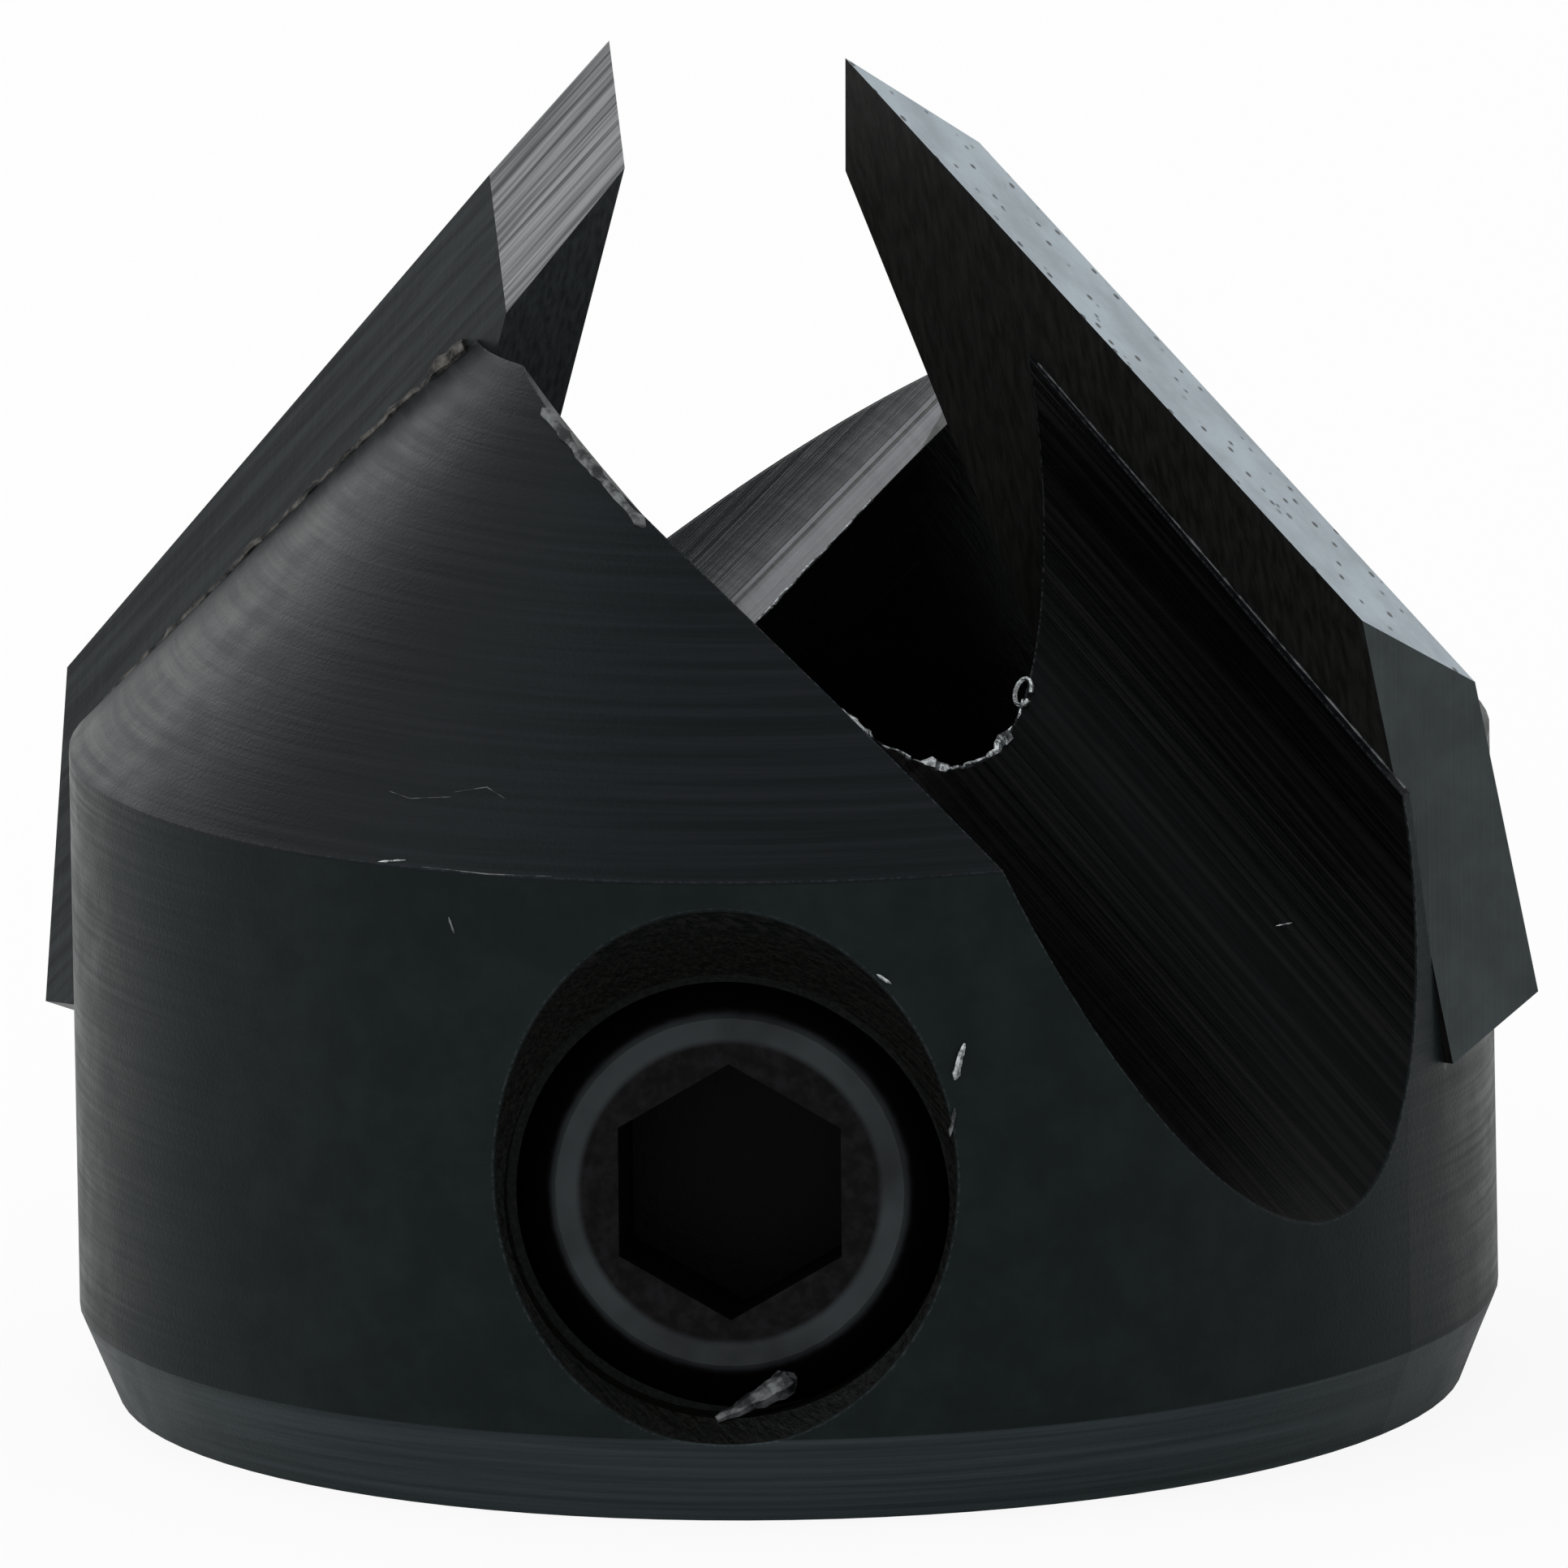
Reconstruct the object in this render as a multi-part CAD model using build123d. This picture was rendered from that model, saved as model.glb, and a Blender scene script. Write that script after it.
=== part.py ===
"""Slip-on countersink for a boring bit, left-hand cutting, two brazed carbide inserts.

The steel body slides over a drill of drill_diameter and is locked by two grub screws.
Frame: Z is the bore axis, the flat base lies at Z = 0 and the cutting edges run along X.
The front insert, screw and gullet are modelled, and half a turn about Z gives the rear ones.
The two inserts then lean together by pair_lean, because they are brazed in slightly out of true.
Millimetres and degrees.
"""
from build123d import *
from math import cos, radians, sin, tan
import os

# Steel body
body_diameter = 19.2
drill_diameter = 8.0
cylinder_height = 8.85
point_angle = 90.0
base_chamfer_height = 1.2
base_chamfer_width = 0.5

# Gullets: cuts that run down and outward in front of each rake face. A round cutter fed askew gives
# them an elliptic section, and the rear one is cut deeper than the front one.
gullet_short_radius = 3.15
gullet_long_radius = 4.23
gullet_skew = 49.6
gullet_dip = 44.2
gullet_yaw = 0.8
gullet_reach = 6.0
gullet_height = 12.0
gullet_side_offset = 3.51
gullet_front_drop = 0.24
gullet_rear_drop = 0.85

# Carbide inserts: flat plates, ground on the edge, the side, the tip and the inner end
plate_thickness = 1.66
plate_width = 5.0
rake_angle = 16.4
relief_angle = 12.4
edge_standoff = 1.28
edge_offset = 0.2
tip_offset = 1.94
corner_offset = 9.36
side_angle = 44.0
side_length = 6.5
side_lean = 12.2
corner_rise = 13.0
tip_bevel_run = 0.92
tip_bevel_depth = 1.48
tip_bevel_lean = 34.8
inner_end_angle = 30.0
braze_gap = 0.1

# Lean of the brazed pair, about a level axis through Z
pair_lean = -2.7
pair_lean_azimuth = 119.4
pair_lean_height = 6.9

# Grub screws: M6, flush type with a hexagon socket and a cup point
screw_diameter = 6.0
thread_clearance = 0.05
screw_length = 4.0
screw_tip_clearance = 0.5
screw_height = 4.47
screw_azimuth = -65.8
screw_tilt = 5.0
screw_mouth_diameter = 7.3
screw_end_chamfer = 0.6
socket_across_flats = 3.0
socket_depth = 2.2
cup_diameter = 3.0
cup_depth = 0.7

body_radius = body_diameter / 2
drill_radius = drill_diameter / 2
half_angle = radians(point_angle / 2)
edge_length = (corner_offset - tip_offset) / sin(half_angle)
sides = {"front": Rot(0, 0, 0), "rear": Rot(0, 0, 180)}
gullet_drops = {"front": gullet_front_drop, "rear": gullet_rear_drop}
beyond = body_diameter


def cone_height(radius):
    """Height of the body cone at a radius."""
    return cylinder_height + (body_radius - radius) / tan(half_angle)


def insert_plane():
    """Rake plane with its origin on the tip: x along the edge, y down the rake face, z into the plate."""
    edge_x = body_radius + edge_standoff * cos(half_angle)
    edge_z = cylinder_height + edge_standoff * sin(half_angle)
    tip_z = edge_z + (edge_x - tip_offset) / tan(half_angle)
    rake = radians(rake_angle)
    into_plate = (cos(half_angle) * sin(rake), cos(rake), sin(half_angle) * sin(rake))
    return Plane(
        origin=(tip_offset, -edge_offset, tip_z),
        x_dir=(sin(half_angle), 0, -cos(half_angle)),
        z_dir=into_plate,
    )


def grind(solid, point, along, across):
    """Grinds a plate down to the plane through point that holds the directions along and across.

    The three are given in the insert plane, and what lies on the side of along x across goes.
    """
    base = insert_plane()
    origin = base.from_local_coords(Vector(*point))
    normal = Vector(*along).cross(Vector(*across))
    world_normal = base.from_local_coords(normal) - base.origin
    return split(solid, bisect_by=Plane(origin=origin, z_dir=world_normal), keep=Keep.BOTTOM)


def plate_blank(gap, overrun):
    """Plate before its grinding, grown by gap where it is brazed and by overrun where it is open."""
    side = radians(side_angle)
    inner = radians(inner_end_angle)
    width = plate_width + gap
    inner_shift = gap / sin(inner)
    corner = (edge_length + overrun, -overrun)
    heel = (edge_length + overrun + width / tan(side), width)
    inner_end = (tip_bevel_run + (width - tip_bevel_depth) / tan(inner) - inner_shift, width)
    inner_start = (tip_bevel_run - inner_shift, tip_bevel_depth)
    above_tip = (-inner_shift - overrun, -overrun)
    outline = Polyline(above_tip, corner, heel, inner_end, inner_start, close=True)
    return extrude(insert_plane() * make_face(outline), amount=plate_thickness + gap)


def trim_corner(solid, gap):
    """Takes off the sharp outer corner of the lower edge, level in front and rising to the back."""
    side = radians(side_angle)
    level = Vector(-cos(radians(rake_angle)) * tan(half_angle), 1, 0).normalized()
    upward = Vector(-level.Y, level.X, 0)
    rise = radians(corner_rise)
    across = Vector(0, 0, 1) * cos(rise) + upward * sin(rise)
    lower_corner = Vector(edge_length + side_length * cos(side), side_length * sin(side), 0)
    return grind(solid, lower_corner - upward * gap, level, across)


def insert():
    """Carbide plate with its relief, outer side, tip bevel and trimmed corner ground."""
    side = radians(side_angle)
    relief = tan(radians(rake_angle + relief_angle))
    plate = plate_blank(0, plate_thickness)
    plate = grind(plate, (0, 0, 0), (1, 0, 0), (0, relief, 1))
    plate = grind(plate, (edge_length, 0, 0), (cos(side), sin(side), 0), (tan(radians(side_lean)), 0, 1))
    plate = grind(plate, (0, 0, 0), (-tip_bevel_run, -tip_bevel_depth, 0), (tan(radians(tip_bevel_lean)), 0, 1))
    return trim_corner(plate, 0)


def seat_space(overrun):
    """Room for a plate and its braze, open past the edge and the outer side by overrun."""
    return trim_corner(plate_blank(braze_gap, overrun), braze_gap)


def lean(solid):
    """Turns what belongs to an insert out of true, as the pair is brazed in."""
    azimuth = radians(pair_lean_azimuth)
    axis = Axis((0, 0, pair_lean_height), (cos(azimuth), sin(azimuth), 0))
    return solid.rotate(axis, pair_lean)


def gullet(drop):
    """Elliptic cutter that leaves the gullet in front of the rake face, sunk by drop."""
    yaw = radians(gullet_yaw)
    dip = radians(gullet_dip)
    down = Vector(cos(dip) * cos(yaw), cos(dip) * sin(yaw), -sin(dip))
    sideways = Vector(-sin(yaw), cos(yaw), 0)
    outward = down.cross(sideways)
    centre = Vector(gullet_reach, 0, gullet_height) - sideways * gullet_side_offset - outward * drop
    section = Ellipse(gullet_short_radius, gullet_long_radius, rotation=gullet_skew)
    return extrude(Plane(origin=centre, x_dir=sideways, z_dir=down) * section, amount=beyond, both=True)


def screw_plane():
    """Plane across the screw axis, where that axis leaves the body, with z outward and x level."""
    azimuth = radians(screw_azimuth)
    tilt = radians(screw_tilt)
    mouth = (body_radius * cos(azimuth), body_radius * sin(azimuth), screw_height)
    outward = (cos(azimuth) * cos(tilt), sin(azimuth) * cos(tilt), sin(tilt))
    return Plane(origin=mouth, x_dir=(-sin(azimuth), cos(azimuth), 0), z_dir=outward)


def screw_hole():
    """Tapped hole from the bore outward, with a mouth countersunk at 90 degrees."""
    radius = screw_diameter / 2
    mouth_radius = screw_mouth_diameter / 2
    mouth_depth = mouth_radius - radius
    profile = Polyline(
        (0, -body_radius),
        (radius, -body_radius),
        (radius, -mouth_depth),
        (2 * mouth_radius, mouth_radius),
        (0, mouth_radius),
        close=True,
    )
    return screw_plane() * revolve(Plane.XZ * make_face(profile), Axis.Z)


def grub_screw():
    """Grub screw with chamfered ends, cup point and hexagon socket, backed off the drill."""
    radius = screw_diameter / 2 - thread_clearance
    inner_end = -body_radius + drill_radius + screw_tip_clearance
    outer_end = inner_end + screw_length
    socket_floor = outer_end - socket_depth
    profile = Polyline(
        (0, inner_end + cup_depth),
        (cup_diameter / 2, inner_end),
        (radius - screw_end_chamfer, inner_end),
        (radius, inner_end + screw_end_chamfer),
        (radius, outer_end - screw_end_chamfer),
        (radius - screw_end_chamfer, outer_end),
        (0, outer_end),
        close=True,
    )
    hexagon = RegularPolygon(socket_across_flats / 2, 6, major_radius=False, rotation=90)
    socket = extrude(Plane.XY.offset(socket_floor) * hexagon, amount=socket_depth)
    return screw_plane() * (revolve(Plane.XZ * make_face(profile), Axis.Z) - socket)


def body_blank():
    """Turned body with its bore, gullets and tapped holes, before the insert seats are milled."""
    profile = Polyline(
        (drill_radius, 0),
        (body_radius - base_chamfer_width, 0),
        (body_radius, base_chamfer_height),
        (body_radius, cylinder_height),
        (drill_radius, cone_height(drill_radius)),
        close=True,
    )
    blank = revolve(Plane.XZ * make_face(profile), Axis.Z)
    for name, turn in sides.items():
        blank = blank - turn * gullet(gullet_drops[name]) - turn * screw_hole()
    return blank


def build():
    """Every piece, by the name of its node."""
    blank = body_blank()
    pieces = {"body": blank}
    for name, turn in sides.items():
        plate = lean(turn * insert())
        pieces["body"] -= lean(turn * seat_space(plate_thickness))
        pieces[f"insert_{name}"] = plate
        pieces[f"braze_{name}"] = (blank & lean(turn * seat_space(0))) - plate
        pieces[f"grub_screw_{name}"] = turn * grub_screw()
    return pieces


os.makedirs("parts", exist_ok=True)
for name, piece in build().items():
    export_step(piece, f"parts/{name}.step")
    print(name, len(piece.solids()), round(piece.volume, 3))
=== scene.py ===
"""Finish, floor, light and camera for the slip-on countersink. Sizes are in millimetres until they are placed."""
import bpy
import random
from math import acos, atan2, cos, hypot, radians, sin, tan, tau
from mathutils import Matrix, Vector


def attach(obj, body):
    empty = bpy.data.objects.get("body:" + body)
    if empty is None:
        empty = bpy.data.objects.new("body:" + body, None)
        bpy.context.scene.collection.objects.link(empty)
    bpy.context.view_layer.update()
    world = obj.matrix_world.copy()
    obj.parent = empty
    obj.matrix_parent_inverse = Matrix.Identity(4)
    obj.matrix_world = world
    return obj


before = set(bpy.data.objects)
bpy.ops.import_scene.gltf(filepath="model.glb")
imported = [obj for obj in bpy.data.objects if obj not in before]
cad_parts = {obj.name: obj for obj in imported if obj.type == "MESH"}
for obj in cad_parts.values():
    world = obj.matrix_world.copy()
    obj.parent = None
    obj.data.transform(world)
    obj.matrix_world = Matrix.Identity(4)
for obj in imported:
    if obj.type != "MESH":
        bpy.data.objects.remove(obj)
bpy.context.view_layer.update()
mm = 0.001

# Sizes of the countersink that its finish follows
body_radius = 9.6
bore_radius = 4.0
cylinder_height = 8.85
point_angle = 90.0
gullet_short_radius = 3.15
gullet_long_radius = 4.23
gullet_skew = 49.6
gullet_dip = 44.2
gullet_yaw = 0.8
gullet_reach = 6.0
gullet_height = 12.0
gullet_side_offset = 3.51
gullet_drops = {"front": 0.24, "rear": 0.85}
plate_thickness = 1.66
rake_angle = 16.4
relief_angle = 12.4
edge_standoff = 1.28
edge_offset = 0.2
tip_offset = 1.94
side_angle = 44.0
side_lean = 12.2
tip_bevel_run = 0.92
tip_bevel_depth = 1.48
tip_bevel_lean = 34.8
pair_lean = -2.7
pair_lean_azimuth = 119.4
pair_lean_height = 6.9
screw_height = 4.47
screw_azimuth = -65.8
screw_tilt = 5.0
base_chamfer_height = 1.2
base_chamfer_slope = 0.4167

# Degrees that each end's gullet, plate and screw are turned round the bore
end_turn = {"front": 0, "rear": 180}

# Slant of the grinding marks on the tip bevels, as the photograph shows them
scratch_slant = 47

# Direction that the rear gullet's wall looks where its band lies, and the lines of that band: the middle of each
# up the wall, its half width, and whether it is bright. The band stands for the deburred chamfer along the break into
# the bore, painted on the wall as highlight, and the thin dark line in it is painted shade
rear_wall_faces = (-0.563, -0.599, 0.57)
rear_wall_lines = ((8.7, 0.72, True), (9.5, 0.06, False), (9.64, 0.05, True))

# Seeds of the random draws
burr_seed = 5
seam_seed = 8
solder_seed = 3
scratch_seed = 21

# Camera of the photograph: it stands to the right of the front and looks a little down
camera_azimuth = 29.4
camera_elevation = 11.86
camera_roll = -1.02
camera_distance = 900.0
view_width = 21.18
view_height_on_axis = 10.12
view_shift_right = 0.087
view_shift_down = 1.904
sensor_width = 36.0
photo_width = 1932


def plain_slate():
    """Object mode with nothing selected, so that the next tool only touches what it adds."""
    if bpy.context.object and bpy.context.object.mode != "OBJECT":
        bpy.ops.object.mode_set(mode="OBJECT")
    bpy.ops.object.select_all(action="DESELECT")


def camera_axes():
    """Right, up and viewing directions of the camera, before its roll."""
    azimuth = radians(camera_azimuth)
    tilt = radians(camera_elevation)
    right = Vector((cos(azimuth), sin(azimuth), 0))
    look = Vector((-sin(azimuth) * cos(tilt), cos(azimuth) * cos(tilt), -sin(tilt)))
    return right, right.cross(look), look


def place_camera():
    """Adds the camera of the photograph, with its roll, and gives it to the scene."""
    right, up, look = camera_axes()
    roll = radians(camera_roll)
    right, up = cos(roll) * right + sin(roll) * up, cos(roll) * up - sin(roll) * right
    middle = Vector((0, 0, view_height_on_axis)) + view_shift_right * right - view_shift_down * up
    spot = (middle - camera_distance * look) * mm
    bpy.ops.object.camera_add()
    camera = bpy.context.object
    camera.name = "photo_camera"
    camera.matrix_world = Matrix((
        (right.x, up.x, -look.x, spot.x),
        (right.y, up.y, -look.y, spot.y),
        (right.z, up.z, -look.z, spot.z),
        (0, 0, 0, 1),
    ))
    camera.data.sensor_width = sensor_width
    camera.data.lens = sensor_width * camera_distance / view_width
    camera.data.clip_start = 0.001
    camera.data.clip_end = 20
    bpy.context.scene.camera = camera


class Finish:
    """A material and the few things that its nodes are built with."""

    def __init__(self, name, tint, metallic, roughness, gloss):
        self.material = bpy.data.materials.new(name)
        self.material.use_nodes = True
        self.nodes = self.material.node_tree.nodes
        self.links = self.material.node_tree.links
        self.shader = self.nodes["Principled BSDF"]
        self.shader.inputs["Base Color"].default_value = colour(*tint)
        self.shader.inputs["Metallic"].default_value = metallic
        self.shader.inputs["Roughness"].default_value = roughness
        self.shader.inputs["Specular IOR Level"].default_value = gloss
        self.place = self.add("ShaderNodeTexCoord").outputs["Object"]

    def add(self, kind, **settings):
        """New node of a kind, with its settings."""
        node = self.nodes.new(kind)
        for name, value in settings.items():
            setattr(node, name, value)
        return node

    def feed(self, socket, value):
        """Gives a socket a number, a colour or another node's output."""
        if isinstance(value, bpy.types.NodeSocket):
            self.links.new(value, socket)
        elif value is not None:
            socket.default_value = value

    def coords(self, angles=(0, 0, 0), stretch=(1, 1, 1)):
        """Place on the piece in millimetres, turned and stretched for a pattern."""
        metres = self.add("ShaderNodeMapping", vector_type="TEXTURE")
        self.feed(metres.inputs["Vector"], self.place)
        metres.inputs["Rotation"].default_value = [radians(v) for v in angles]
        metres.inputs["Scale"].default_value = [mm * v for v in stretch]
        return metres.outputs["Vector"]

    def noise(self, coordinates, scale=1.0, detail=3.0, roughness=0.5):
        """Cloudy number from 0 to 1, with scale lumps a millimetre."""
        node = self.add("ShaderNodeTexNoise")
        self.feed(node.inputs["Vector"], coordinates)
        node.inputs["Scale"].default_value = scale
        node.inputs["Detail"].default_value = detail
        node.inputs["Roughness"].default_value = roughness
        return node.outputs["Fac"]

    def streaks(self, direction, length, width):
        """Noise drawn out along a direction, in streaks of a length and width in millimetres."""
        along = Vector(direction).normalized()
        first = along.orthogonal().normalized()
        second = along.cross(first)
        here = self.coords()
        join = self.add("ShaderNodeCombineXYZ")
        for socket, side in zip(join.inputs, (along / length, first / width, second / width)):
            self.feed(socket, self.vector("DOT_PRODUCT", here, tuple(side), "Value"))
        return self.noise(join.outputs[0], detail=4, roughness=0.6)

    def math(self, operation, first, second=None):
        """Result of an operation on one or two numbers."""
        node = self.add("ShaderNodeMath", operation=operation)
        for socket, value in zip(node.inputs, (first, second)):
            self.feed(socket, value)
        return node.outputs["Value"]

    def vector(self, operation, first, second=None, output="Vector"):
        """Result of an operation on one or two vectors, as a vector or under the name of another output."""
        node = self.add("ShaderNodeVectorMath", operation=operation)
        self.feed(node.inputs[0], first)
        self.feed(node.inputs[1], second)
        return node.outputs[output]

    def ramp(self, value, low, high, first=0.0, last=1.0):
        """Value carried from low..high to first..last, held at both ends."""
        node = self.add("ShaderNodeMapRange", interpolation_type="SMOOTHSTEP")
        self.feed(node.inputs["Value"], value)
        node.inputs["From Min"].default_value = low
        node.inputs["From Max"].default_value = high
        node.inputs["To Min"].default_value = first
        node.inputs["To Max"].default_value = last
        return node.outputs["Result"]

    def mix(self, share, first, second):
        """Colour between first and second."""
        node = self.add("ShaderNodeMix", data_type="RGBA")
        self.feed(node.inputs["Factor"], share)
        self.feed(node.inputs[6], first)
        self.feed(node.inputs[7], second)
        return node.outputs[2]

    def shade(self, value, low, high, dark, light):
        """Colour carried from dark to light while a value goes from low to high."""
        return self.mix(self.ramp(value, low, high), colour(*dark), colour(*light))

    def blend(self, share, first, second):
        """Plain number between first and second."""
        node = self.add("ShaderNodeMix", data_type="FLOAT")
        self.feed(node.inputs[0], share)
        self.feed(node.inputs[2], first)
        self.feed(node.inputs[3], second)
        return node.outputs[0]

    def relief(self, height, depth, below=None):
        """Bumps of a depth in millimetres, laid over other bumps."""
        node = self.add("ShaderNodeBump")
        node.inputs["Strength"].default_value = 1
        node.inputs["Distance"].default_value = depth * mm
        self.feed(node.inputs["Height"], height)
        self.feed(node.inputs["Normal"], below)
        return node.outputs["Normal"]

    def worn_edges(self, reach):
        """Share from 0 to 1 that is high within reach of a sharp edge."""
        bevel = self.add("ShaderNodeBevel", samples=6)
        bevel.inputs["Radius"].default_value = reach * mm
        facing = self.add("ShaderNodeNewGeometry")
        likeness = self.vector("DOT_PRODUCT", bevel.outputs["Normal"], facing.outputs["True Normal"], "Value")
        return self.ramp(likeness, 0.995, 0.9)

    def near(self, distance, reach, soft):
        """Share that is 1 where a distance is under reach and fades out over soft."""
        return self.ramp(self.math("ABSOLUTE", distance), reach, reach + soft, 1.0, 0.0)


def colour(red, green, blue):
    """A solid colour as a socket takes it."""
    return (red, green, blue, 1)


def insert_axes(end):
    """Edge, downward and inward directions of a leaned plate, and a point of its edge."""
    half = radians(point_angle / 2)
    rake = radians(rake_angle)
    edge_x = body_radius + edge_standoff * cos(half)
    tip_z = cylinder_height + edge_standoff * sin(half) + (edge_x - tip_offset) / cos(half) * sin(half)
    inward = Vector((cos(half) * sin(rake), cos(rake), sin(half) * sin(rake)))
    along = Vector((sin(half), 0, -cos(half)))
    tip = Vector((tip_offset, -edge_offset, tip_z))
    turn = Matrix.Rotation(radians(end_turn[end]), 4, "Z")
    azimuth = radians(pair_lean_azimuth)
    tilt = Matrix.Rotation(radians(pair_lean), 4, Vector((cos(azimuth), sin(azimuth), 0)))
    pivot = Vector((0, 0, pair_lean_height))
    place = Matrix.Translation(pivot) @ tilt @ Matrix.Translation(-pivot) @ turn
    spin = place.to_3x3()
    return spin @ along, spin @ inward.cross(along), spin @ inward, place @ tip


def plate_face(end, edgeward, downward, inward):
    """Direction that a face of a plate looks, from its parts along the plate's own axes."""
    along, down, into, _ = insert_axes(end)
    return (along * edgeward + down * downward + into * inward).normalized()


def looks_along(finish, direction):
    """Share that is 1 on the flat face that looks in a direction."""
    facing = finish.add("ShaderNodeNewGeometry").outputs["True Normal"]
    likeness = finish.vector("DOT_PRODUCT", facing, direction, "Value")
    return finish.ramp(likeness, 0.985, 0.995)


def screw_direction(end):
    """Middle of a tapped hole's mouth, and the outward direction of its axis."""
    azimuth = radians(screw_azimuth + end_turn[end])
    tilt = radians(screw_tilt)
    outward = Vector((cos(azimuth) * cos(tilt), sin(azimuth) * cos(tilt), sin(tilt)))
    mouth = Vector((body_radius * cos(azimuth), body_radius * sin(azimuth), screw_height))
    return mouth, outward


def off_screw_axis(finish, end):
    """Distance from the axis of a tapped hole, far off on the other side, and place along it, in millimetres."""
    mouth, outward = screw_direction(end)
    here = finish.vector("SUBTRACT", finish.coords(), tuple(mouth))
    across = finish.vector("CROSS_PRODUCT", here, tuple(outward))
    depth = finish.vector("DOT_PRODUCT", here, tuple(outward), "Value")
    far_side = finish.ramp(depth, -6.5, -6.4, 50.0, 0.0)
    return finish.math("ADD", finish.vector("LENGTH", across, None, "Value"), far_side), depth


def radius_and_height(finish):
    """Distance from the bore axis, height over the base and place along x, in millimetres."""
    split = finish.add("ShaderNodeSeparateXYZ")
    finish.feed(split.inputs[0], finish.coords())
    x, y, z = split.outputs
    across = finish.math("SQRT", finish.math("ADD", finish.math("MULTIPLY", x, x), finish.math("MULTIPLY", y, y)))
    return across, z, x


def cutter_axes(end):
    """Directions of a gullet's cutter: the way it went, outward and down, then level, then square to both."""
    yaw, dip = radians(gullet_yaw + end_turn[end]), radians(gullet_dip)
    down = Vector((cos(dip) * cos(yaw), cos(dip) * sin(yaw), -sin(dip)))
    sideways = Vector((-sin(yaw), cos(yaw), 0))
    return down, sideways, down.cross(sideways)


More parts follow.
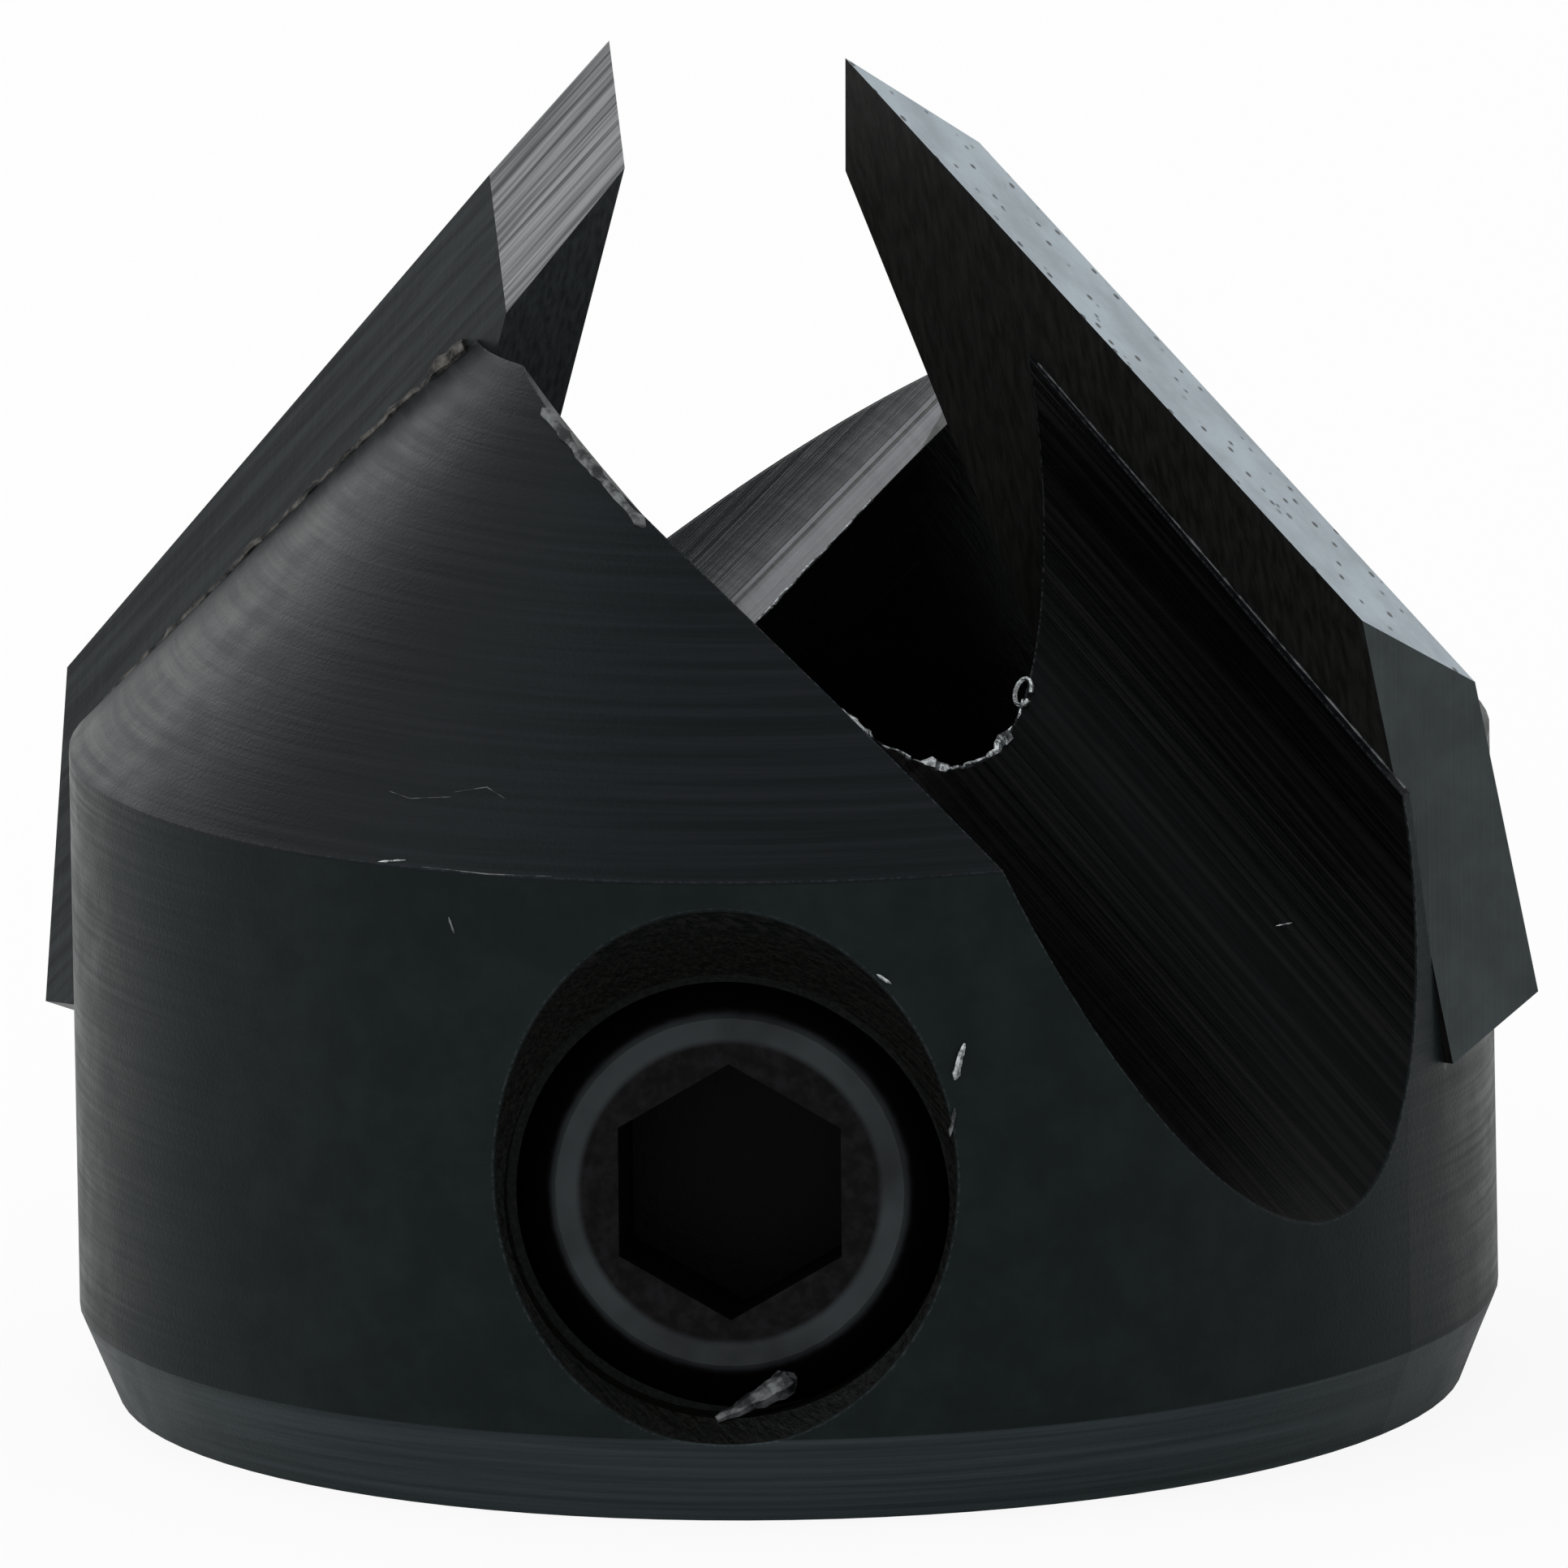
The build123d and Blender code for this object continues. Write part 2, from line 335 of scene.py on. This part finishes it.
def blackened_steel():
    """Black oxide: turned outside and milled in the gullets, with painted shade in the front gullet, the bore and the
    tapped holes, and a painted highlight on the rear gullet's wall.
    """
    finish = Finish("blackened_steel", (0.0075, 0.0108, 0.011), 0.0, 0.38, 0.07)
    finish.shader.inputs["Specular Tint"].default_value = (0.82, 0.96, 1.0, 1)
    across, height, x = radius_and_height(finish)
    on_cylinder = finish.near(finish.math("SUBTRACT", across, body_radius), 0.02, 0.02)
    cone_sum = finish.math("SUBTRACT", finish.math("ADD", across, height), body_radius + cylinder_height)
    on_cone = finish.near(cone_sum, 0.03, 0.03)
    chamfer_sum = finish.math("SUBTRACT", across, finish.math("MULTIPLY", height, base_chamfer_slope))
    chamfer_sum = finish.math("SUBTRACT", chamfer_sum, body_radius - base_chamfer_height * base_chamfer_slope)
    on_chamfer = finish.near(chamfer_sum, 0.02, 0.02)
    on_chamfer = finish.math("MULTIPLY", on_chamfer, finish.ramp(height, 1.19, 1.22, 1.0, 0.0))
    bore_shade = finish.ramp(across, bore_radius + 0.005, bore_radius + 0.02, 1.0, 0.0)
    rear = finish.ramp(x, -0.05, 0.05, 1.0, 0.0)
    turned = finish.noise(finish.coords(stretch=(7, 7, 0.1)), detail=4, roughness=0.62)
    mottle = finish.noise(finish.coords(), scale=1.1, detail=5, roughness=0.65)
    grain = finish.noise(finish.coords(), scale=16, detail=3, roughness=0.6)
    rear_cut, _, _ = cutter_axes("rear")
    front_striae = finish.streaks(cutter_axes("front")[0], 12, 0.12)
    rear_striae = finish.streaks(rear_cut, 12, 0.16)

    skin = finish.shade(mottle, 0.35, 0.7, (0.0062, 0.0092, 0.0093), (0.0092, 0.0132, 0.0135))
    cone_skin = finish.shade(turned, 0.35, 0.72, (0.0052, 0.0065, 0.0072), (0.0098, 0.0112, 0.0135))
    chamfer_skin = finish.shade(turned, 0.3, 0.75, (0.018, 0.025, 0.027), (0.036, 0.047, 0.05))

    # Painted shade: the front gullet's wall is darker than the rear one, which keeps the lit tone; the streaks in both
    # are milling marks
    shaded_front_wall = finish.shade(front_striae, 0.42, 0.66, (0.0012, 0.0012, 0.001), (0.007, 0.0062, 0.0067))
    rear_wall = finish.shade(rear_striae, 0.35, 0.62, (0.003, 0.0045, 0.0052), (0.01, 0.0125, 0.0145))
    # Painted highlight: the bright band and thin bright line on the rear wall by the bore, standing for the deburred
    # chamfer; the thin dark line between them is painted shade
    band = finish.shade(rear_striae, 0.3, 0.7, (0.085, 0.088, 0.098), (0.17, 0.175, 0.19))
    shade_line = colour(0.002, 0.0025, 0.003)
    up_the_wall = rear_cut.cross(Vector(rear_wall_faces)).normalized()
    reach = finish.vector("DOT_PRODUCT", finish.coords(), tuple(up_the_wall), "Value")
    down_the_cut = finish.vector("DOT_PRODUCT", finish.coords(), tuple(rear_cut), "Value")
    by_the_bore = finish.ramp(down_the_cut, -5.0, -2.8, 1.0, 0.0)
    for middle, half_width, is_bright in rear_wall_lines:
        line = finish.near(finish.math("SUBTRACT", reach, middle), half_width, 0.03)
        rear_wall = finish.mix(finish.math("MULTIPLY", line, by_the_bore), rear_wall, band if is_bright else shade_line)
    wall = finish.mix(rear, shaded_front_wall, rear_wall)

    outer = finish.math("MAXIMUM", on_cylinder, on_cone)
    outer = finish.math("MAXIMUM", outer, on_chamfer)
    tone = finish.mix(on_cone, skin, cone_skin)
    tone = finish.mix(on_chamfer, tone, chamfer_skin)
    tone = finish.mix(outer, wall, tone)
    # Painted shade in the bore, darker than the oxide outside
    bore_shade = finish.math("MULTIPLY", bore_shade, finish.ramp(height, 0.05, 0.1))
    tone = finish.mix(bore_shade, tone, colour(0.0014, 0.0015, 0.0012))
    edges = finish.math("MULTIPLY", finish.worn_edges(0.05), finish.ramp(grain, 0.42, 0.62))
    tone = finish.mix(finish.math("MULTIPLY", edges, 0.35), tone, colour(0.1, 0.11, 0.12))
    # Painted shade in the tapped holes round the screws, darker than the oxide outside
    hole_shade = finish.shade(grain, 0.4, 0.7, (0.0012, 0.0012, 0.0009), (0.006, 0.0055, 0.0045))
    for end in end_turn:
        away, _ = off_screw_axis(finish, end)
        hole = finish.math("MULTIPLY", finish.ramp(away, 3.62, 3.7, 1.0, 0.0), finish.math("SUBTRACT", 1.0, outer))
        tone = finish.mix(hole, tone, hole_shade)
    finish.feed(finish.shader.inputs["Base Color"], tone)
    uneven = finish.math("ADD", mottle, turned)
    finish.feed(finish.shader.inputs["Roughness"], finish.ramp(uneven, 0.7, 1.3, 0.3, 0.44))
    bumps = finish.relief(grain, 0.006)
    bumps = finish.relief(finish.math("MULTIPLY", turned, outer), 0.012, bumps)
    striae = finish.blend(rear, front_striae, rear_striae)
    bumps = finish.relief(finish.math("MULTIPLY", striae, finish.math("SUBTRACT", 1.0, outer)), 0.03, bumps)
    finish.feed(finish.shader.inputs["Normal"], bumps)
    return finish.material


def carbide(end):
    """Ground carbide, with a painted reflection of its own on each ground face of the plate: the rake face dark, the
    relief face and tip bevel pale.
    """
    finish = Finish(f"carbide_{end}", (0.02, 0.022, 0.023), 0.0, 0.36, 0.2)
    relief_slope = tan(radians(rake_angle + relief_angle))
    side = radians(side_angle)
    bevel_normal = plate_face(end, -tip_bevel_depth, tip_bevel_run, tip_bevel_depth * tan(radians(tip_bevel_lean)))
    relief = looks_along(finish, plate_face(end, 0, -1, relief_slope))
    outside = looks_along(finish, plate_face(end, sin(side), -cos(side), -sin(side) * tan(radians(side_lean))))
    bevel = looks_along(finish, bevel_normal)
    rake = looks_along(finish, plate_face(end, 0, 0, -1))
    ground = finish.noise(finish.coords(angles=(0, point_angle / 2, 0), stretch=(0.1, 0.1, 8)), detail=3, roughness=0.6)
    right, up, look = camera_axes()
    stroke = right * cos(radians(scratch_slant)) + up * sin(radians(scratch_slant))
    slanted = finish.streaks(stroke - look * (stroke.dot(bevel_normal) / look.dot(bevel_normal)), 5, 0.045)
    upright = finish.noise(finish.coords(stretch=(0.09, 0.09, 6)), detail=3, roughness=0.6)
    cloud = finish.noise(finish.coords(), scale=0.9, detail=4, roughness=0.6)
    specks = finish.add("ShaderNodeTexVoronoi")
    finish.feed(specks.inputs["Vector"], finish.coords())
    specks.inputs["Scale"].default_value = 3.4
    speck = finish.ramp(specks.outputs["Distance"], 0.12, 0.24, 1.0, 0.0)
    pitted = finish.math("MULTIPLY", finish.math("MULTIPLY", speck, relief), finish.ramp(cloud, 0.44, 0.5))
    # Painted reflection on each ground face: the rake face painted dark, the side a little lighter, the relief face
    # pale blue-white and the tip bevel light as painted highlights; the streaks, clouds and specks in them are grinding
    # marks and pits
    tone = finish.shade(ground, 0.3, 0.7, (0.014, 0.017, 0.0185), (0.032, 0.037, 0.04))
    rake_shade = finish.shade(upright, 0.3, 0.72, (0.0045, 0.005, 0.0042), (0.0125, 0.0128, 0.012))
    tone = finish.mix(rake, tone, rake_shade)
    side_reflection = finish.shade(cloud, 0.3, 0.7, (0.022, 0.03, 0.032), (0.036, 0.046, 0.049))
    tone = finish.mix(outside, tone, side_reflection)
    relief_highlight = finish.shade(cloud, 0.3, 0.7, (0.3, 0.36, 0.4), (0.42, 0.5, 0.55))
    tone = finish.mix(relief, tone, finish.mix(pitted, relief_highlight, colour(0.05, 0.055, 0.06)))
    bevel_highlight = finish.shade(slanted, 0.32, 0.68, (0.11, 0.115, 0.12), (0.38, 0.39, 0.4))
    tone = finish.mix(bevel, tone, bevel_highlight)
    finish.feed(finish.shader.inputs["Base Color"], tone)
    finish.feed(finish.shader.inputs["Metallic"], finish.math("MAXIMUM", bevel, relief))
    bumps = finish.relief(finish.blend(bevel, upright, slanted), 0.01)
    bumps = finish.relief(pitted, -0.03, bumps)
    finish.feed(finish.shader.inputs["Normal"], bumps)
    return finish.material


def silver_solder():
    """Dull, lumpy solder."""
    finish = Finish("silver_solder", (0.03, 0.03, 0.028), 0.6, 0.45, 0.4)
    lumps = finish.noise(finish.coords(), scale=5, detail=4, roughness=0.65)
    tone = finish.shade(lumps, 0.35, 0.7, (0.008, 0.0085, 0.009), (0.12, 0.115, 0.105))
    finish.feed(finish.shader.inputs["Base Color"], tone)
    finish.feed(finish.shader.inputs["Normal"], finish.relief(lumps, 0.03))
    return finish.material


def bare_steel_and_glints():
    """Fresh steel of burrs, chips and scratched crests, and of painted highlights at the screw's mouth."""
    finish = Finish("bare_steel_and_glints", (0.4, 0.42, 0.44), 1.0, 0.35, 0.5)
    torn = finish.noise(finish.coords(), scale=7, detail=4, roughness=0.7)
    tone = finish.shade(torn, 0.35, 0.65, (0.09, 0.1, 0.1), (0.62, 0.66, 0.68))
    finish.feed(finish.shader.inputs["Base Color"], tone)
    finish.feed(finish.shader.inputs["Normal"], finish.relief(torn, 0.04))
    return finish.material


def rubbed_steel_and_glints():
    """Oxide rubbed thin on crests and old scratches, and a painted highlight at the screw's mouth."""
    finish = Finish("rubbed_steel_and_glints", (0.06, 0.065, 0.07), 0.3, 0.42, 0.3)
    rubbed = finish.noise(finish.coords(), scale=4, detail=4, roughness=0.65)
    tone = finish.shade(rubbed, 0.38, 0.66, (0.012, 0.014, 0.015), (0.16, 0.17, 0.175))
    finish.feed(finish.shader.inputs["Base Color"], tone)
    finish.feed(finish.shader.inputs["Normal"], finish.relief(rubbed, 0.02))
    return finish.material


def screw_steel(end):
    """Black oxide of a grub screw, with a lighter ring on its face, and painted shade in its socket and on its rim."""
    finish = Finish(f"screw_steel_{end}", (0.004, 0.0045, 0.0045), 0.0, 0.4, 0.05)
    away, depth = off_screw_axis(finish, end)
    grain = finish.noise(finish.coords(), scale=5, detail=4, roughness=0.6)
    rings = finish.noise(finish.coords(), scale=0.8, detail=2)
    tone = finish.shade(grain, 0.35, 0.7, (0.0028, 0.0029, 0.003), (0.0085, 0.0083, 0.0095))
    ring_inside, ring_outside = (1.98, 2.1), (2.36, 2.46)
    ring = finish.math("MULTIPLY", finish.ramp(away, *ring_inside), finish.ramp(away, *ring_outside, 1.0, 0.0))
    ring = finish.math("MULTIPLY", ring, finish.ramp(rings, 0.3, 0.6, 0.45, 1.0))
    tone = finish.mix(ring, tone, colour(0.036, 0.042, 0.045))
    # Painted shade in the hex socket
    socket_shade = finish.ramp(depth, -1.2, -1.15, 1.0, 0.0)
    socket_shade = finish.math("MULTIPLY", socket_shade, finish.ramp(away, 1.8, 1.85, 1.0, 0.0))
    tone = finish.mix(socket_shade, tone, colour(0.0011, 0.0012, 0.001))
    # Painted shade on the rim round the screw's face
    tone = finish.mix(finish.ramp(away, 2.44, 2.5), tone, colour(0.0015, 0.0015, 0.0014))
    finish.feed(finish.shader.inputs["Base Color"], tone)
    finish.feed(finish.shader.inputs["Normal"], finish.relief(grain, 0.008))
    return finish.material


def wire(name, points, girths, finish, roundness):
    """Thin closed bar along points in millimetres, with its own radius at each and rounder for a higher roundness."""
    plain_slate()
    bpy.ops.mesh.primitive_plane_add(size=mm, location=points[0] * mm)
    bpy.ops.object.mode_set(mode="EDIT")
    bpy.ops.mesh.select_all(action="SELECT")
    bpy.ops.mesh.merge(type="CENTER")
    for before, here in zip(points, points[1:]):
        bpy.ops.mesh.extrude_region_move(TRANSFORM_OT_translate={"value": (here - before) * mm})
    bpy.ops.object.mode_set(mode="OBJECT")
    bpy.ops.object.convert(target="CURVE")
    bar = bpy.context.object
    bar.data.dimensions = "3D"
    bar.data.bevel_depth = mm
    bar.data.bevel_resolution = roundness
    bar.data.use_fill_caps = True
    for point in bar.data.splines[0].points:
        spot = bar.matrix_world @ point.co.to_3d() / mm
        nearest = min(range(len(points)), key=lambda index: (points[index] - spot).length)
        point.radius = girths[nearest]
    bpy.ops.object.convert(target="MESH")
    bpy.ops.object.transform_apply(location=True, rotation=True, scale=True)
    bpy.ops.object.shade_smooth_by_angle(angle=radians(40))
    bar = bpy.context.object
    bar.name = name
    bar.data.materials.clear()
    bar.data.materials.append(finish)
    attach(bar, "root")


def photo_ray(x, y):
    """Start and direction of the camera's ray through a pixel of the photograph."""
    camera = bpy.context.scene.camera
    scale = view_width / photo_width
    middle = photo_width / 2
    target = Vector(((x - middle) * scale, (middle - y) * scale, -camera_distance)) * mm
    start = camera.matrix_world.translation
    return start, (camera.matrix_world @ target - start).normalized()


def landing(node, x, y):
    """Point in millimetres, and outward direction, where a node shows at a pixel."""
    start, direction = photo_ray(x, y)
    hit, spot, normal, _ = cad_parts[node].ray_cast(start, direction)
    if not hit:
        raise ValueError(f"{node} does not show at {x}, {y}")
    return spot / mm, normal


def drawn(node, corners, lift, pieces):
    """Points on a node along a line of pixels, raised by lift."""
    points = []
    for (x0, y0), (x1, y1) in zip(corners, corners[1:]):
        for step in range(pieces):
            share = step / pieces
            spot, normal = landing(node, x0 + (x1 - x0) * share, y0 + (y1 - y0) * share)
            points.append(spot + normal * lift)
    spot, normal = landing(node, *corners[-1])
    points.append(spot + normal * lift)
    return points


def gullet_meets(point, direction, end):
    """Distances along a line to the two places where it meets the wall of a gullet, or None if it misses."""
    _, sideways, outward = cutter_axes(end)
    skew = radians(gullet_skew)
    centre = Vector((gullet_reach * cos(radians(end_turn[end])), 0, gullet_height))
    centre -= sideways * gullet_side_offset + outward * gullet_drops[end]
    short = (sideways * cos(skew) + outward * sin(skew)) / gullet_short_radius
    long = (outward * cos(skew) - sideways * sin(skew)) / gullet_long_radius
    offset = point - centre
    a = short.dot(direction) ** 2 + long.dot(direction) ** 2
    b = short.dot(direction) * short.dot(offset) + long.dot(direction) * long.dot(offset)
    c = short.dot(offset) ** 2 + long.dot(offset) ** 2 - 1
    root = b * b - a * c
    if root < 0:
        return None
    return (-b - root ** 0.5) / a, (-b + root ** 0.5) / a


def bore_break(end, azimuth):
    """Point of the edge where the gullet breaks into the bore, at an azimuth, or None where it doesn't."""
    foot = Vector((bore_radius * cos(radians(azimuth)), bore_radius * sin(radians(azimuth)), 0))
    heights = gullet_meets(foot, Vector((0, 0, 1)), end)
    return foot + Vector((0, 0, heights[0])) if heights else None


def ragged(count, thin, thick, chance):
    """Radii of a burr, from thin to thick in a rough order that is the same each run."""
    return [chance.uniform(thin, thick) for _ in range(count)]


def break_burrs(bright):
    """Burr along each gullet's break into the bore, rougher at the front, where it ends in a curl."""
    chance = random.Random(burr_seed)
    steps, highest = 40, 12.6
    for end, first, last in (("front", -50, -5), ("rear", 100, 166)):
        points = [bore_break(end, first + (last - first) * step / steps) for step in range(steps + 1)]
        points = [p for p in points if p and p.z < highest]
        jitter = 0.035 if end == "front" else 0.012
        points = [p + Vector([chance.uniform(-jitter, jitter) for _ in range(3)]) for p in points]
        girths = ragged(len(points), 0.012, 0.028, chance)
        if end == "front":
            girths = [girth + chance.uniform(0.05, 0.11) * max(0, sin(k * 0.42)) ** 2 for k, girth in enumerate(girths)]
        wire(f"break_burr_{end}", points, girths, bright, 1)
    top = bore_break("front", -5)
    loop = [top + Vector((0.12 * cos(a), 0.1 * sin(a), 0.17 * sin(a) + 0.1)) for a in [tau * k / 12 for k in range(12)]]
    wire("burr_curl", loop, [0.035] * len(loop), bright, 1)


def cone_line(end, depth, count):
    """Points along the cone where it meets the plane that lies depth into a plate."""
    _, _, into, tip = insert_axes(end)
    level = into.dot(tip + into * depth)
    lead, size = atan2(into.y, into.x), hypot(into.x, into.y)
    inner, outer = bore_radius + 0.12, body_radius - 0.06
    points = []
    for step in range(count):
        radius = inner + (outer - inner) * step / (count - 1)
        height = body_radius + cylinder_height - radius
        swing = acos((level - into.z * height) / radius / size)
        spots = [Vector((radius * cos(lead + s * swing), radius * sin(lead + s * swing), height)) for s in (-1, 1)]
        points.append(max(spots, key=lambda spot: spot.x if end == "front" else -spot.x))
    return points


def seat_seams(rubbed):
    """Thin crest of steel in front of each rake face, where the cone ends."""
    chance = random.Random(seam_seed)
    for end in end_turn:
        points = cone_line(end, -0.015, 46)
        wire(f"seat_crest_{end}", points, ragged(len(points), 0.01, 0.028, chance), rubbed, 1)


def braze_beads(solder):
    """Uneven line of solder behind each plate, along the cone."""
    chance = random.Random(solder_seed)
    for end in end_turn:
        points = [spot + Vector([chance.uniform(-0.02, 0.02) for _ in range(3)])
                  for spot in cone_line(end, plate_thickness + 0.04, 54)]
        girths = [g + (0.09 if k < 5 else 0) for k, g in enumerate(ragged(len(points), 0.04, 0.085, chance))]
        wire(f"braze_bead_{end}", points, girths, solder, 2)


def mouth_threads(dark):
    """Last part of a turn of each tapped thread, in front of the screw and tapered at both ends."""
    steps, turns, start_depth, advance, thread_radius = 60, 0.8, 0.7, 0.8, 3.02
    for end in end_turn:
        mouth, outward = screw_direction(end)
        level = Vector((0, 0, 1)).cross(outward).normalized()
        upward = outward.cross(level)
        points = []
        for step in range(steps + 1):
            angle = tau * turns * step / steps
            depth = -start_depth - advance * step / steps
            points.append(mouth + outward * depth + (level * cos(angle) + upward * sin(angle)) * thread_radius)
        girths = [0.03 + 0.13 * min(1, k / 12, (steps - k) / 8) for k in range(steps + 1)]
        wire(f"hole_thread_{end}", points, girths, dark, 0)


def chips_scratches_and_glints(bright, rubbed):
    """Chip and painted highlights at the front screw's mouth, scratches and the burr of the crest, where the photograph
    shows them.

    Each line is given by its pixels, its girth, its finish and its lift.
    """
    chance = random.Random(scratch_seed)
    foot, foot_normal = landing("body", 884, 1752)
    head, head_normal = landing("grub_screw_front", 978, 1690)
    foot, head = foot + foot_normal * 0.03, head + head_normal * 0.12
    chip = [foot.lerp(head, k / 9) + Vector([chance.uniform(-0.03, 0.03) for _ in range(3)]) for k in range(10)]
    wire("mouth_chip", chip, [0.05 + 0.018 * k for k in range(9)] + [0.08], rubbed, 1)
    lines = {
        # The mouth glints are painted highlights at the edge of the screw's mouth, built as bright slivers of steel
        "mouth_glint_right": ([(1176, 1330), (1182, 1302), (1188, 1285)], 0.07, bright, 0.02),
        "mouth_glint_low": ([(1172, 1400), (1176, 1365)], 0.035, rubbed, 0.02),
        "mouth_glint_top": ([(1080, 1200), (1098, 1212)], 0.03, bright, 0.02),
        "step_scratch": ([(466, 1062), (500, 1060)], 0.02, bright, 0.004),
        "step_scratch_long": ([(520, 1068), (600, 1077), (680, 1080)], 0.009, rubbed, 0.002),
        "cone_scratch": ([(480, 975), (505, 984), (555, 982)], 0.008, rubbed, 0.002),
        "cone_scratch_right": ([(560, 976), (600, 970), (622, 984)], 0.008, rubbed, 0.002),
        "wall_scratch": ([(553, 1130), (560, 1150)], 0.02, rubbed, 0.004),
        "gullet_fleck": ([(1572, 1141), (1592, 1137)], 0.012, bright, 0.004),
        "crest_burr": ([(668, 502), (690, 530), (715, 560), (742, 590), (768, 620), (795, 650)], 0.11, rubbed, -0.02),
    }
    for name, (corners, girth, finish, lift) in lines.items():
        points = drawn("body", corners, lift, 4)
        girths = [girth * chance.uniform(0.45, 1) for _ in points]
        girths[0] = girths[-1] = girth * 0.2
        wire(name, points, girths, finish, 1)


def dress(name, finish):
    """Gives a node one material, in place of what it has."""
    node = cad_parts[name]
    node.data.materials.clear()
    node.data.materials.append(finish)


def lay_floor():
    """White floor of the stage, which glows for the camera alone."""
    plain_slate()
    bpy.ops.mesh.primitive_plane_add(size=3, location=(0, 0, 0))
    floor = bpy.context.object
    floor.name = "floor"
    paper = bpy.data.materials.new("white_floor")
    paper.use_nodes = True
    nodes, links = paper.node_tree.nodes, paper.node_tree.links
    shader = nodes["Principled BSDF"]
    shader.inputs["Base Color"].default_value = (0.9, 0.9, 0.9, 1)
    shader.inputs["Roughness"].default_value = 0.9
    glow = nodes.new("ShaderNodeEmission")
    glow.inputs["Strength"].default_value = 1
    seen = nodes.new("ShaderNodeLightPath")
    share = nodes.new("ShaderNodeMath")
    share.operation = "MULTIPLY"
    share.inputs[1].default_value = 0.9
    both = nodes.new("ShaderNodeMixShader")
    links.new(seen.outputs["Is Camera Ray"], share.inputs[0])
    links.new(share.outputs[0], both.inputs[0])
    links.new(shader.outputs[0], both.inputs[1])
    links.new(glow.outputs[0], both.inputs[2])
    links.new(both.outputs[0], nodes["Material Output"].inputs["Surface"])
    floor.data.materials.append(paper)


def light_room():
    """An even pale room, white where the camera or a reflection sees it."""
    world = bpy.data.worlds.new("pale_room")
    world.use_nodes = True
    bpy.context.scene.world = world
    nodes, links = world.node_tree.nodes, world.node_tree.links
    ambient = nodes["Background"]
    ambient.inputs["Color"].default_value = (1, 1, 1, 1)
    ambient.inputs["Strength"].default_value = 0.75
    white = nodes.new("ShaderNodeBackground")
    white.inputs["Strength"].default_value = 1
    seen = nodes.new("ShaderNodeLightPath")
    either = nodes.new("ShaderNodeMath")
    either.operation = "MAXIMUM"
    both = nodes.new("ShaderNodeMixShader")
    links.new(seen.outputs["Is Camera Ray"], either.inputs[0])
    links.new(seen.outputs["Is Glossy Ray"], either.inputs[1])
    links.new(either.outputs[0], both.inputs[0])
    links.new(ambient.outputs[0], both.inputs[1])
    links.new(white.outputs[0], both.inputs[2])
    links.new(both.outputs[0], nodes["World Output"].inputs["Surface"])


def soft_light(name, azimuth, elevation, distance, size, watts):
    """A square soft light that stands round the countersink and points at it."""
    plain_slate()
    azimuth, elevation = radians(azimuth), radians(elevation)
    aim = Vector((sin(azimuth) * cos(elevation), -cos(azimuth) * cos(elevation), sin(elevation)))
    middle = Vector((0, 0, view_height_on_axis * mm))
    bpy.ops.object.light_add(type="AREA", location=middle + aim * distance)
    light = bpy.context.object
    light.name = name
    light.data.size = size
    light.data.energy = watts
    light.rotation_euler = aim.to_track_quat("Z", "Y").to_euler()


bpy.context.scene.view_settings.view_transform = "Standard"
place_camera()
lay_floor()
light_room()
soft_light("left_soft_light", azimuth=camera_azimuth - 75, elevation=45, distance=0.3, size=0.2, watts=0.2)
soft_light("back_soft_light", azimuth=-117, elevation=24, distance=0.3, size=0.16, watts=0.12)

steel = blackened_steel()
solder = silver_solder()
bright = bare_steel_and_glints()
rubbed = rubbed_steel_and_glints()
dress("body", steel)
for end in end_turn:
    dress(f"insert_{end}", carbide(end))
    dress(f"braze_{end}", solder)
    dress(f"grub_screw_{end}", screw_steel(end))
break_burrs(bright)
seat_seams(rubbed)
braze_beads(solder)
mouth_threads(steel)
chips_scratches_and_glints(bright, rubbed)
